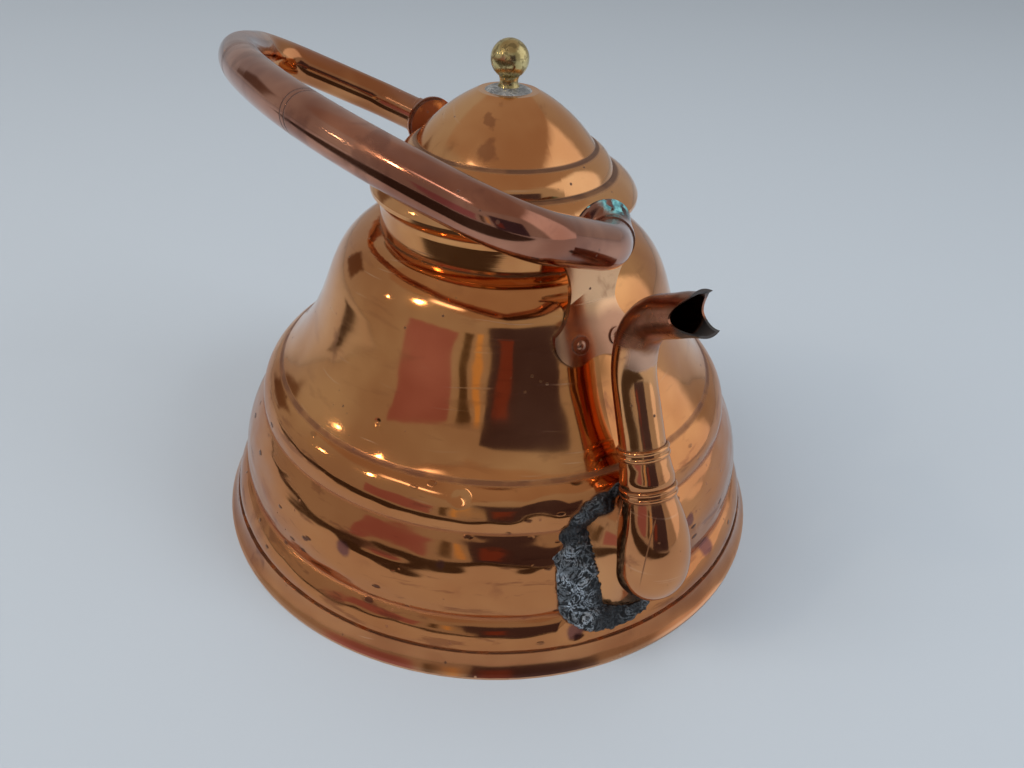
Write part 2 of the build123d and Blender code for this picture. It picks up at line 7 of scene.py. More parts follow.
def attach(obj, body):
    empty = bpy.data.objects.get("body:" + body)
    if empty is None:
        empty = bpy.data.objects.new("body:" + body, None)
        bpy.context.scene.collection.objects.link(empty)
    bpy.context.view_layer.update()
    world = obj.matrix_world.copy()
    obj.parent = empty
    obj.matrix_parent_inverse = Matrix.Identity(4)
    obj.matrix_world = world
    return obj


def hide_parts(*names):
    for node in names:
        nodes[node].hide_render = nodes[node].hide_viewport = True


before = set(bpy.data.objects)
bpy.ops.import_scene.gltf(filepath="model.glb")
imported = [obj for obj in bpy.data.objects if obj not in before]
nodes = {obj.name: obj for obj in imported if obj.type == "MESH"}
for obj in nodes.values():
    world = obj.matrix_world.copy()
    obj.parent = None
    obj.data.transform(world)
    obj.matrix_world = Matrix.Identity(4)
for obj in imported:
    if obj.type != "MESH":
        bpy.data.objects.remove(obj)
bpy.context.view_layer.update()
print("frame loaded:", len(nodes), "nodes")


# Tools for shaders
class Wire:  # a socket that takes part in plain sums
    def __init__(self, tree, socket):
        self.tree = tree
        self.socket = socket

    def sum(self, operation, *values):
        return self.tree.put("ShaderNodeMath", {"operation": operation}, values)

    def __add__(self, other):
        return self.sum("ADD", self, other)

    def __radd__(self, other):
        return self.sum("ADD", other, self)

    def __sub__(self, other):
        return self.sum("SUBTRACT", self, other)

    def __rsub__(self, other):
        return self.sum("SUBTRACT", other, self)

    def __mul__(self, other):
        return self.sum("MULTIPLY", self, other)

    def __rmul__(self, other):
        return self.sum("MULTIPLY", other, self)

    def __pow__(self, other):
        return self.sum("POWER", self, other)

    def size(self):  # how far from nought
        return self.sum("ABSOLUTE", self)

    def most(self, other):
        return self.sum("MAXIMUM", self, other)

    def least(self, other):
        return self.sum("MINIMUM", self, other)

    def rise(self, low, high):  # 0 below low, 1 above high, smooth between
        values = {"Value": self, "From Min": low, "From Max": high}
        return self.tree.put("ShaderNodeMapRange", {"interpolation_type": "SMOOTHSTEP"}, values)

    def fall(self, low, high):
        return 1 - self.rise(low, high)


class Tree:  # the nodes of one material or of the world
    def __init__(self, owner):
        owner.use_nodes = True
        self.owner = owner
        self.nodes = owner.node_tree.nodes
        self.links = owner.node_tree.links
        self.nodes.clear()

    def put(self, kind, settings=None, values=(), out=0):
        node = self.nodes.new(kind)
        for name, value in (settings or {}).items():
            setattr(node, name, value)
        for socket, value in values.items() if isinstance(values, dict) else enumerate(values):
            if isinstance(value, Wire):
                self.links.new(value.socket, node.inputs[socket])
            else:
                node.inputs[socket].default_value = value
        return Wire(self, node.outputs[out])

    def split(self, vector):
        node = self.put("ShaderNodeSeparateXYZ", values=[vector]).socket.node
        return [Wire(self, socket) for socket in node.outputs]

    def vector(self, operation, *values, out=0):
        return self.put("ShaderNodeVectorMath", {"operation": operation}, values, out)

    def blend(self, share, first, second):
        opaque = [c if isinstance(c, Wire) else (*c, 1) for c in (first, second)]
        return self.put("ShaderNodeMix", {"data_type": "RGBA"}, {0: share, 6: opaque[0], 7: opaque[1]}, out=2)

    def shown(self, shader, output="ShaderNodeOutputMaterial"):
        end = self.nodes.new(output)
        self.links.new(shader.socket, end.inputs["Surface"])
        return self.owner


class Finish(Tree):  # one material, built up in layers
    def __init__(self, name):
        super().__init__(bpy.data.materials.new(name))
        self.place = self.put("ShaderNodeTexCoord", out="Object")
        self.facing = self.put("ShaderNodeTexCoord", out="Normal")
        self.x, self.y, self.z = self.split(self.place)

    def noise(self, scale, detail=2.0, rough=0.5, place=None, wander=0.0):
        values = {"Vector": place or self.place, "Scale": scale, "Detail": detail, "Roughness": rough,
                  "Distortion": wander}
        return self.put("ShaderNodeTexNoise", None, values)

    def cells(self, scale, feature="F1", place=None):
        values = {"Vector": place or self.place, "Scale": scale}
        return self.put("ShaderNodeTexVoronoi", {"feature": feature}, values, "Distance")

    def turned(self, angles, scale, move=(0, 0, 0), place=None):
        values = {"Vector": place or self.place, "Location": move,
                  "Rotation": [math.radians(a) for a in angles], "Scale": scale}
        return self.put("ShaderNodeMapping", None, values)

    def radius(self):  # distance from the kettle's upright axis
        return (self.x * self.x + self.y * self.y) ** 0.5

    def outward(self):  # 1 where a wall faces away from the upright axis, -1 where it faces it
        ray = self.vector("NORMALIZE", self.vector("MULTIPLY", self.place, (1, 1, 0)))
        return self.vector("DOT_PRODUCT", self.facing, ray, out="Value")

    def up(self):  # 1 where a wall faces up, -1 where it faces down
        return self.split(self.facing)[2]

    def near(self, point, low, high):  # 1 within low of the point, 0 beyond high
        return self.vector("DISTANCE", self.place, point, out="Value").fall(low, high)

    def cornerShade(self, reach):  # painted shade from ambient occlusion: 1 deep in a corner or crease, 0 on open metal
        openness = self.put("ShaderNodeAmbientOcclusion", {"samples": 6}, {"Distance": reach}, out="AO")
        return openness.fall(0.50, 0.90)

    def spots(self, marks, ragged=0.004):  # 1 inside any of the marks, with uneven edges
        uneven = (self.noise(150.0, 3.0) - 0.5) * ragged
        total = None
        for mark in marks:
            reach = self.vector("DISTANCE", self.place, mark["at"], out="Value") + uneven
            inside = reach.fall(mark["radius"] * 0.55, mark["radius"])
            total = inside if total is None else total.most(inside)
        return total

    def dented(self, dents):  # the sum of the dents, in metres
        total = 0
        for dent in dents:
            reach = self.vector("DISTANCE", self.place, dent["at"], out="Value")
            total = reach.fall(0, dent["radius"]) * dent["push"] + total
        return total

    def scratches(self, angles, length=18.0, fineness=620.0, keep=0.70):
        wobble = self.put("ShaderNodeTexNoise", None, {"Vector": self.place, "Scale": 9.0}, out="Color")
        bent = self.vector("MULTIPLY_ADD", wobble, (0.03, 0.03, 0.03), self.place)
        fine = self.noise(1.0, 1.0, place=self.turned(angles, (length, length, fineness), place=bent))
        patch = self.noise(26.0, 1.0, place=self.turned(angles, (1, 1, 1), (0.3, 0.1, 0.7)))
        return fine.rise(keep, keep + 0.05) * patch.rise(0.48, 0.60)

    def turning(self, fineness=900.0):  # marks left by polishing round and round
        flat = self.vector("NORMALIZE", self.vector("MULTIPLY", self.place, (1, 1, 0)))
        rise = self.z * fineness + self.radius() * fineness
        ring = self.put("ShaderNodeCombineXYZ", None, [0.0, 0.0, rise])
        return self.noise(1.0, 2.0, place=self.vector("MULTIPLY_ADD", flat, (2.5, 2.5, 2.5), ring))

    def tint(self, mask, colour, share=1.0, rougher=0.0, duller=0.0):  # one more layer where the mask is 1
        self.colour = self.blend(mask if share == 1.0 else mask * share, self.colour, colour)
        if rougher:
            self.rough = self.rough + mask * rougher
        if duller:
            self.metallic = self.metallic - mask * duller

    def lined(self, marks, colour, broken=0.35):  # dark grooves, marks is 1 on them
        kept = marks * (1 - broken * self.noise(60.0, 2.0).rise(0.45, 0.65))
        self.tint(kept, colour, rougher=0.35, duller=0.45)

    def tinned(self, inside):  # the inner wall is wiped with tin
        mottled = self.noise(55.0, 3.0)
        self.tint(inside, self.blend(mottled.rise(0.3, 0.7), (0.30, 0.29, 0.28), (0.52, 0.51, 0.50)))
        self.rough = self.rough + inside * (0.22 + 0.15 * mottled)

    def green(self, mask):  # blue-green verdigris, chalky and dull
        chalk = self.noise(420.0, 2.0).rise(0.35, 0.65)
        self.tint(mask, self.blend(chalk, (0.06, 0.20, 0.22), (0.20, 0.50, 0.50)))
        self.rough = self.rough * (1 - mask) + 0.75 * mask
        self.metallic = self.metallic * (1 - mask)

    def surface(self):
        normal = self.put("ShaderNodeBump", None, {"Strength": 1.0, "Distance": 1.0, "Height": self.height})
        values = {"Base Color": self.colour, "Metallic": self.metallic, "Roughness": self.rough,
                  "Normal": normal}
        return self.shown(self.put("ShaderNodeBsdfPrincipled", None, values))


def paint(names, material):
    for name in names:
        mesh = nodes[name].data
        mesh.materials.clear()
        mesh.materials.append(material)


def bandAt(value, middle, half):  # 1 on a line of that half width
    return (value - middle).size().fall(half * 0.35, half)


def bandsAt(value, bands):  # 1 on any of the lines, each a middle and a half width
    total = bandAt(value, *bands[0])
    for band in bands[1:]:
        total = total.most(bandAt(value, *band))
    return total


# Copper and brass in their several states
def copper(name, look):
    coat = Finish(name)
    cloud = coat.noise(look["cloudScale"], 3.0, 0.55)
    blotch = coat.noise(look["stainScale"], 4.0, 0.6, wander=0.6)
    stain = blotch.rise(look["stainFrom"], look["stainFrom"] + 0.12) * look["stain"]
    speckPatch = coat.noise(look["speckScale"] / 3.3, 0.0).rise(0.57, 0.61)
    speck = coat.cells(look["speckScale"]).fall(0.06, 0.13) * speckPatch * look["speck"]
    scratch = coat.scratches((12, 34, 20)).most(coat.scratches((70, -25, 50), keep=0.72)) * look["scratch"]
    ring = coat.turning() if look["turning"] else coat.noise(700.0, 1.0)
    # painted shade: a patchy mask that darkens corners, creases and gaps between parts
    paintedCornerShade = coat.cornerShade(look["crevice"]) * look["cornerShade"] * coat.noise(130.0, 3.0).rise(0.25, 0.50)

    coat.colour = coat.blend(cloud.rise(0.30, 0.72), look["deep"], look["bright"])
    coat.rough = look["rough"] + 0.10 * cloud.rise(0.35, 0.75) * look["dull"]
    coat.rough = coat.rough + (ring - 0.5) * look["turning"] * 0.10
    coat.metallic = 1
    coat.tint(stain, look["stained"], rougher=0.16)
    coat.tint(speck, (0.07, 0.03, 0.02), rougher=0.3, duller=0.5)
    coat.tint(scratch, look["rubbed"], 0.35, rougher=0.12)
    # painted shade: near-black brown where the corner mask is 1
    coat.tint(paintedCornerShade, (0.040, 0.020, 0.015), rougher=0.3, duller=0.6)

    coat.height = coat.noise(look["waveScale"], 1.0) * look["wave"]
    coat.height = coat.height + coat.cells(look["dentScale"], "SMOOTH_F1") * look["dent"]
    coat.height = coat.height + (ring - 0.5) * (0.000004 * (1 + look["turning"])) - scratch * 0.00001
    return coat


bodyLook = {
    "deep": (0.60, 0.235, 0.082), "bright": (0.84, 0.395, 0.150), "stained": (0.26, 0.085, 0.045),
    "rubbed": (0.95, 0.62, 0.40), "cloudScale": 14.0, "stainScale": 22.0, "stainFrom": 0.60, "stain": 0.60,
    "speckScale": 120.0, "speck": 0.9, "scratch": 0.8, "turning": 0.6, "rough": 0.075, "dull": 0.6,
    "waveScale": 24.0, "wave": 0.0010, "dentScale": 34.0, "dent": 0.00040, "crevice": 0.0025, "cornerShade": 0.95}
bodyPlaces = {
    "grooves": ((0.104, 0.0016), (0.0805, 0.0011), (0.032, 0.0012)), "groove": (0.10, 0.035, 0.02),
    "skirtTop": (0.085, 0.11), "skirtColour": (0.50, 0.180, 0.068), "smudge": (0.27, 0.085, 0.040),
    "nick": (0.085, 0.034, 0.025), "tarnish": (0.17, 0.060, 0.065), "unevenWide": 0.0030,
    "unevenFine": 0.0018}
bodyDents = [  # a place on the wall, how wide, how deep
    {"at": (0.1413, -0.0505, 0.0823), "radius": 0.019, "push": -0.0022},
    {"at": (0.1401, -0.0415, 0.0952), "radius": 0.014, "push": -0.0009},
    {"at": (0.1664, -0.0418, 0.0231), "radius": 0.011, "push": -0.0026},
    {"at": (0.1144, -0.0869, 0.0984), "radius": 0.007, "push": -0.0012},
    {"at": (0.0601, -0.1086, 0.1185), "radius": 0.0026, "push": -0.0007},
]
bodyMarks = [  # purple and brown tarnish spots: a place and how wide
    {"at": (0.0808, -0.1405, 0.0574), "radius": 0.0058},
    {"at": (0.1545, 0.0614, 0.0306), "radius": 0.0080},
    {"at": (0.1555, 0.0418, 0.0609), "radius": 0.0048},
    {"at": (0.1664, -0.0418, 0.0231), "radius": 0.0062},
    {"at": (0.1210, -0.1010, 0.0640), "radius": 0.0040},
]


def bodyCopper(look, places):
    coat = copper("bodyCopper", look)
    coat.lined(bandsAt(coat.z, places["grooves"]) * 0.85, places["groove"])
    skirt = coat.z.fall(*places["skirtTop"])
    coat.tint(skirt, places["skirtColour"], 0.60)
    streaks = coat.noise(1.0, 4.0, 0.6, coat.turned((0, 0, 0), (26, 26, 150)), 0.4)
    coat.tint(streaks.rise(0.56, 0.66) * (0.25 + 0.75 * skirt), places["smudge"], 0.55, rougher=0.10)
    nickCell = coat.cells(60.0, place=coat.turned((10, 20, 30), (1, 1, 2.4)))
    nick = nickCell.fall(0.12, 0.20) * coat.noise(24.0, 1.0).rise(0.50, 0.54) * skirt
    coat.tint(nick, places["nick"], 0.85, rougher=0.20)
    coat.tint(coat.spots(bodyMarks) * 0.8, places["tarnish"], rougher=0.12)
    wide = coat.noise(1.0, 2.0, place=coat.turned((0, 0, 0), (15, 15, 42))) * places["unevenWide"]
    uneven = wide + coat.noise(16.0, 1.0) * places["unevenFine"]
    coat.height = coat.height + uneven * skirt + nick * 0.0003 + coat.dented(bodyDents)
    coat.tinned(coat.outward().fall(-0.15, 0.05))
    return coat.surface()


neckLook = {**bodyLook, "cloudScale": 20.0, "wave": 0.0004, "dent": 0.0001, "stain": 0.45}
neckFoot = 0.1855


def neckCopper(look):
    coat = copper("neckCopper", look)
    coat.lined(bandAt(coat.z, neckFoot, 0.0016) * 0.7, (0.14, 0.05, 0.03))
    coat.tinned(coat.outward().fall(-0.15, 0.05))
    return coat.surface()


baseLook = {
    **bodyLook, "deep": (0.44, 0.16, 0.065), "bright": (0.70, 0.31, 0.13), "rough": 0.13, "stain": 0.8,
    "stainFrom": 0.56, "scratch": 1.0, "wave": 0.0012}
baseSootAndRimSheen = {
    "soot": (0.06, 0.045, 0.04), "sootWithin": (0.172, 0.178), "edge": (0.82, 0.45, 0.26),
    "edgeFrom": (0.1785, 0.1796)}


def baseCopper(look, sootAndSheen):
    coat = copper("baseCopper", look)
    under = coat.z.fall(0.0004, 0.0012) * coat.radius().fall(*sootAndSheen["sootWithin"])
    soot = coat.noise(25.0, 4.0).rise(0.35, 0.6) * under
    coat.tint(soot, sootAndSheen["soot"], 0.85, rougher=0.4, duller=0.6)
    # painted highlight: the outermost edge of the base rim is paler all round
    coat.tint(coat.radius().rise(*sootAndSheen["edgeFrom"]), sootAndSheen["edge"], 0.6)
    return coat.surface()


paint(["body_shell"], bodyCopper(bodyLook, bodyPlaces))
paint(["neck_collar"], neckCopper(neckLook))
paint(["base_pan"], baseCopper(baseLook, baseSootAndRimSheen))
print("body painted")

lidLook = {
    **bodyLook, "deep": (0.72, 0.315, 0.122), "bright": (0.92, 0.49, 0.215), "cloudScale": 18.0,
    "stainScale": 34.0, "stainFrom": 0.60, "stain": 0.7, "stained": (0.34, 0.13, 0.05), "wave": 0.0006,
    "dent": 0.00022, "rough": 0.11}
lidGrooves = {"bands": ((0.228, 0.0013), (0.2404, 0.0013)), "colour": (0.09, 0.04, 0.025)}
lidMarks = [  # brown swirls: a place, how wide, how deep
    {"at": (0.0319, -0.0305, 0.2484), "radius": 0.0075, "push": -0.00030},
    {"at": (0.0217, -0.0234, 0.2592), "radius": 0.0050, "push": -0.00015},
    {"at": (-0.0120, -0.0560, 0.2380), "radius": 0.0060, "push": -0.00030},
]


def lidCopper(look, grooves):
    coat = copper("lidCopper", look)
    coat.lined(bandsAt(coat.z, grooves["bands"]) * 0.9, grooves["colour"], 0.15)
    coat.tint(coat.spots(lidMarks, 0.012), (0.24, 0.080, 0.05), 0.45)
    coat.height = coat.height + coat.dented(lidMarks)
    coat.tinned(coat.up().fall(-0.35, -0.1))
    return coat.surface()


def lidCollarCopper(look):
    coat = copper("lidCollarCopper", look)
    coat.tinned(coat.z.fall(0.20, 0.208))
    return coat.surface()


paint(["lid_shell"], lidCopper(lidLook, lidGrooves))
paint(["lid_collar"], lidCollarCopper({**lidLook, "rough": 0.2, "stain": 0.5}))
print("lid painted")

spoutLook = {
    **bodyLook, "deep": (0.60, 0.25, 0.105), "bright": (0.88, 0.435, 0.185), "turning": 0.0, "wave": 0.0006,
    "waveScale": 40.0, "dent": 0.0001, "rough": 0.09, "stainScale": 45.0, "stain": 0.6}
spoutPlaces = {
    "bulbAxis": 0.1705, "seamSide": (0.60, -0.80), "seam": (0.12, 0.05, 0.03), "pale": (0.66, 0.42, 0.33),
    "paleFoot": (0.1695, 0.1715), "paleTop": (0.179, 0.184), "bendFrom": (0.177, 0.184),
    "bendDark": (0.19, 0.065, 0.040), "bendWarm": (0.40, 0.15, 0.095), "lipsFrom": (0.1640, 0.1680),
    "lips": (0.060, 0.060, 0.060)}


def spoutCopper(look, places):
    coat = copper("spoutCopper", look)
    sideX, sideY = places["seamSide"]
    across = (coat.x - places["bulbAxis"]) * -sideY + coat.y * sideX
    along = (coat.x - places["bulbAxis"]) * sideX + coat.y * sideY
    seam = bandAt(across, 0.0, 0.0005) * along.rise(0.004, 0.006)
    seam = seam * coat.z.rise(0.060, 0.075) * coat.z.fall(0.098, 0.102)
    coat.lined(seam * 0.7, places["seam"])
    ragged = coat.z + (coat.noise(120.0, 3.0) - 0.5) * 0.008
    pale = ragged.rise(*places["paleFoot"]) * ragged.fall(*places["paleTop"]) * coat.x.rise(0.137, 0.141)
    coat.tint(pale, places["pale"], 0.7, rougher=0.18)
    bendColour = coat.blend(coat.noise(75.0, 3.0).rise(0.35, 0.65), places["bendDark"], places["bendWarm"])
    coat.tint(ragged.rise(*places["bendFrom"]), bendColour, 0.85, rougher=0.14)
    raggedX = coat.x + (coat.noise(170.0, 3.0) - 0.5) * 0.006
    lips = raggedX.rise(*places["lipsFrom"]) * coat.z.rise(0.190, 0.196)
    coat.tint(lips, places["lips"], 0.95, rougher=0.20, duller=0.35)
    return coat.surface()


spoutMaterial = spoutCopper(spoutLook, spoutPlaces)
paint(["spout_bulb", "spout_middle", "spout_beak", "spout_lower_collar", "spout_upper_collar"], spoutMaterial)

earLook = {
    **bodyLook, "deep": (0.72, 0.355, 0.180), "bright": (0.92, 0.540, 0.300), "turning": 0.0,
    "stainScale": 60.0, "stainFrom": 0.58, "stain": 0.35, "wave": 0.0003, "dent": 0.00012, "rough": 0.13}
earPlaces = {
    "edge": (0.09, 0.04, 0.03), "frontHead": (0.075, 0.04, 0.04), "backHead": (0.34, 0.125, 0.075),
    "foot": (0.34, 0.150, 0.105), "headFrom": (0.206, 0.216), "greenFrom": (0.230, 0.236)}
earFeet = [  # a place, and how wide the browning is
    {"at": (0.1040, -0.0060, 0.1640), "full": 0.012, "none": 0.021},
    {"at": (0.1040, 0.0100, 0.1640), "full": 0.012, "none": 0.021},
    {"at": (-0.1040, 0, 0.1640), "full": 0.016, "none": 0.026},
]


def earCopper(look, places):
    coat = copper("earCopper", look)
    # painted shade: the ear plates' edge faces, turned away from the plate's own facing, are painted dark
    flat = coat.vector("DOT_PRODUCT", coat.facing, (1, 0, 0), out="Value").size()
    coat.tint(flat.fall(0.25, 0.75) * coat.z.rise(0.150, 0.156), places["edge"], 0.8)
    # The heads are darkened in patches: partly tarnish, partly painted shade on the front head and a painted
    # red-brown reflection of the lid on the back head
    front = coat.x.rise(0.0, 0.01)
    headColour = coat.blend(front, places["backHead"], places["frontHead"])
    head = coat.z.rise(*places["headFrom"]) * coat.noise(90.0, 3.0).rise(0.30, 0.5)
    coat.tint(head, headColour, 0.85, rougher=0.18)
    browned = [coat.near(foot["at"], foot["full"], foot["none"]) for foot in earFeet]
    coat.tint(browned[0].most(browned[1]).most(browned[2]), places["foot"], 0.6, rougher=0.08)
    coat.green(coat.z.rise(*places["greenFrom"]) * coat.noise(150.0, 3.0).rise(0.44, 0.54) * front)
    return coat.surface()


paint(["front_ear", "back_ear"], earCopper(earLook, earPlaces))
rivetLook = {
    **earLook, "deep": (0.30, 0.13, 0.08), "bright": (0.62, 0.33, 0.21), "rough": 0.26, "dent": 0.0006,
    "dentScale": 160.0}
paint(["front_ear_rivets", "back_ear_rivets", "front_ear_roves", "back_ear_roves", "front_pivot_pin",
       "back_pivot_pin", "front_pivot_rove", "back_pivot_rove"], copper("rivetCopper", rivetLook).surface())
print("spout and ears painted")

handleLook = {
    **bodyLook, "deep": (0.36, 0.140, 0.085), "bright": (0.64, 0.300, 0.190), "stained": (0.22, 0.082, 0.055),
    "rubbed": (0.85, 0.60, 0.45), "cloudScale": 24.0, "stainScale": 30.0, "stainFrom": 0.54, "stain": 0.5,
    "turning": 0.0, "rough": 0.10, "wave": 0.0004, "dent": 0.0001, "scratch": 1.0}
handlePlaces = {
    "scribed": ((0.0448, 0.0005), (0.0480, 0.0005), (-0.0405, 0.0005), (-0.0437, 0.0005)),
    "scribedDeep": 0.0003, "scribedColour": (0.10, 0.05, 0.04), "backDeep": (0.50, 0.195, 0.075),
    "backBright": (0.78, 0.37, 0.15), "hazeAndTopSheen": (0.52, 0.33, 0.29), "frontFlareShade": (0.06, 0.03, 0.03),
    "green": (0.0955, 0.006, 0.239)}


def handleCopper(look, places):
    coat = copper("handleCopper", look)
    rings = bandsAt(coat.x, places["scribed"]) * coat.y.fall(-0.10, -0.09)
    coat.lined(rings, places["scribedColour"], 0.1)
    coat.height = coat.height - rings * places["scribedDeep"]
    backColour = coat.blend(coat.noise(22.0, 2.0).rise(0.35, 0.65), places["backDeep"], places["backBright"])
    coat.tint(coat.x.fall(-0.125, -0.085) * coat.y.rise(-0.115, -0.085), backColour, 0.85)
    # haze and painted sheen: upward faces get a paler, rougher film in patches
    hazeAndTopSheen = coat.up().rise(0.55, 0.95) * coat.noise(18.0, 2.0).rise(0.35, 0.6)
    coat.tint(hazeAndTopSheen, places["hazeAndTopSheen"], 0.35, rougher=0.10)
    # painted shade: a near-black patch on the inner side of the front flare, for its shaded, dark-reflecting
    # hollow
    frontFlareShade = coat.x.rise(0.094, 0.096) * coat.x.fall(0.103, 0.110) * coat.y.rise(-0.006, 0.004)
    coat.tint(frontFlareShade, places["frontFlareShade"], 0.9)
    coat.green(coat.near(places["green"], 0.007, 0.013) * coat.noise(170.0, 3.0).rise(0.40, 0.50))
    return coat.surface()


paint(["handle_tube", "handle_front_flare", "handle_back_flare", "handle_front_cap", "handle_back_cap"],
      handleCopper(handleLook, handlePlaces))
print("handle painted")

knobLook = {
    **bodyLook, "deep": (0.52, 0.40, 0.17), "bright": (0.84, 0.68, 0.33), "stained": (0.26, 0.20, 0.09),
    "rubbed": (0.80, 0.66, 0.36), "cloudScale": 130.0, "stainScale": 260.0, "stainFrom": 0.48, "stain": 0.75,
    "turning": 0.0, "rough": 0.20, "wave": 0.0001, "dent": 0.00012, "dentScale": 320.0, "speckScale": 420.0}
paint(["lid_knob"], copper("knobBrass", knobLook).surface())


# Tin, rough where it was run on and bright where it was wiped
def tin(name, look):
    coat = Finish(name)
    lumps = coat.noise(look["lumps"], 4.0, 0.6)
    streaks = coat.noise(look["crystal"], 4.0, 0.62, wander=look["swirl"])
    vein = (streaks - 0.5).size().fall(0.012, 0.045)
    patch = coat.noise(look["patch"], 2.0).rise(0.44, 0.58)
    # crystal flecks and painted highlight: the crust's sharp ridges are painted pale
    ridge = coat.put("ShaderNodeNewGeometry", out="Pointiness").rise(0.50, 0.58) * look["ridge"]
    besideX = coat.x - spoutPlaces["bulbAxis"]
    fromSpout = (besideX * besideX + coat.y * coat.y) ** 0.5
    outside = fromSpout.rise(0.025, 0.040) * coat.z.fall(0.062, 0.080)
    lit = 1 - look["middleDark"] * (1 - outside)
    pale = (vein * (0.25 + 0.75 * patch)).most(ridge * streaks.rise(0.42, 0.60)) * lit
    coat.colour = coat.blend(lumps.rise(0.40, 0.70) * patch * lit, look["dark"], look["middle"])
    coat.colour = coat.blend(pale, coat.colour, look["pale"])
    coat.metallic = 0.35 + 0.5 * pale
    coat.rough = look["rough"] + 0.22 * streaks
    coat.height = lumps * look["relief"] + streaks * look["facet"]
    return coat.surface()


roughTinLook = {
    "dark": (0.010, 0.011, 0.013), "middle": (0.028, 0.034, 0.042), "pale": (0.58, 0.64, 0.70),
    "crystal": 95.0, "swirl": 2.6, "patch": 70.0, "lumps": 190.0, "relief": 0.0018, "facet": 0.0016,
    "rough": 0.20, "ridge": 0.5, "middleDark": 0.8}
brightTinLook = {
    **roughTinLook, "dark": (0.14, 0.14, 0.14), "middle": (0.40, 0.40, 0.39), "pale": (0.72, 0.72, 0.71),
    "relief": 0.0006, "facet": 0.0004, "ridge": 0.2, "middleDark": 0.0}
roughTin = tin("roughTin", roughTinLook)
paint(["spout_solder"], roughTin)
paint(["knob_solder", "knob_washer", "base_seam_solder"], tin("brightTin", brightTinLook))
print("tin painted")

# The rough tin run at the foot of the spout
crustShape = {
    "from": "spout_solder", "merge": 0.00001, "voxel": 0.0009, "outerFrom": 0.35,
    "drops": [  # a place and half the size each way
        {"at": (0.1470, -0.0185, 0.0925), "half": (0.0048, 0.0078, 0.0062)},
        {"at": (0.1462, -0.0262, 0.0890), "half": (0.0038, 0.0062, 0.0070)},
        {"at": (0.1462, -0.0325, 0.0830), "half": (0.0034, 0.0058, 0.0075)},
        {"at": (0.1455, -0.0385, 0.0745), "half": (0.0034, 0.0062, 0.0080)},
        {"at": (0.1490, -0.0440, 0.0640), "half": (0.0030, 0.0070, 0.0080)},
    ],
    "coats": [  # how large the lumps are, how far they stand out, and which tone stays where it is
        {"label": "swell", "pattern": "CLOUDS", "size": 0.016, "out": 0.0034, "level": 0.36},
        {"label": "folds", "pattern": "MARBLE", "size": 0.0065, "out": 0.0016, "level": 0.45},
        {"label": "grit", "pattern": "CLOUDS", "size": 0.0020, "out": 0.0010, "level": 0.50},
    ]}


def bareCopy(name, node):
    piece = node.copy()
    piece.data = node.data.copy()
    piece.name = name
    for key in list(piece.keys()):
        del piece[key]
    bpy.context.scene.collection.objects.link(piece)
    piece.parent = None
    return piece


def join(pieces, active):
    bpy.ops.object.select_all(action="DESELECT")
    for piece in pieces:
        piece.select_set(True)
    bpy.context.view_layer.objects.active = active
    bpy.ops.object.join()


def crust(name, shape, material):
    piece = bareCopy(name, nodes[shape["from"]])
    drops = []
    for drop in shape["drops"]:
        bpy.ops.object.select_all(action="DESELECT")
        bpy.ops.mesh.primitive_uv_sphere_add(segments=32, ring_count=20, radius=1, location=drop["at"],
                                             scale=drop["half"])
        drops.append(bpy.context.object)
    join(drops + [piece], piece)
    bpy.ops.object.mode_set(mode="EDIT")
    bpy.ops.mesh.select_all(action="SELECT")
    bpy.ops.mesh.remove_doubles(threshold=shape["merge"])
    bpy.ops.object.mode_set(mode="OBJECT")
    remesh = piece.modifiers.new("even", "REMESH")
    remesh.mode = "VOXEL"
    remesh.voxel_size = shape["voxel"]
    bpy.ops.object.modifier_apply(modifier="even")

    outer = piece.vertex_groups.new(name="outer")  # only the side away from the wall stands out
    for vertex in piece.data.vertices:
        away = Vector((vertex.co.x, vertex.co.y, 0)).normalized()
        weight = min(1, max(0, vertex.normal.dot(away) + shape["outerFrom"]))
        outer.add([vertex.index], weight, "REPLACE")
    for coat in shape["coats"]:
        texture = bpy.data.textures.new(name + coat["label"], coat["pattern"])
        texture.noise_scale = coat["size"]
        push = piece.modifiers.new(coat["label"], "DISPLACE")
        push.texture = texture
        push.texture_coords = "LOCAL"
        push.strength = coat["out"]
        push.mid_level = coat["level"]
        push.vertex_group = "outer"
        bpy.ops.object.modifier_apply(modifier=coat["label"])
    piece.data.materials.clear()
    piece.data.materials.append(material)
    bpy.ops.object.shade_smooth()
    return piece


spoutCrust = crust("spout_tin_crust", crustShape, roughTin)
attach(spoutCrust, "kettle")
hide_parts("spout_solder")
print("tin crust made:", len(spoutCrust.data.polygons), "faces")

# Raised rings round the two spout collars
beadShape = {
    "thick": 0.0015, "sunk": 0.0010, "apart": 0.0034, "lean": -23.8,
    "round": {"spout_lower_collar": 0.01485, "spout_upper_collar": 0.01340}}  # metres, degrees


def middleOf(node):
    corners = [node.matrix_world @ Vector(corner) for corner in node.bound_box]
    return [(max(c[axis] for c in corners) + min(c[axis] for c in corners)) / 2 for axis in range(3)]


def bead(place, lean, radius, thick):
    bpy.ops.object.select_all(action="DESELECT")
    bpy.ops.mesh.primitive_torus_add(location=place, rotation=(0, lean, 0), major_segments=96,
                                     minor_segments=16, major_radius=radius, minor_radius=thick)
    bpy.ops.object.shade_smooth()
    return bpy.context.object


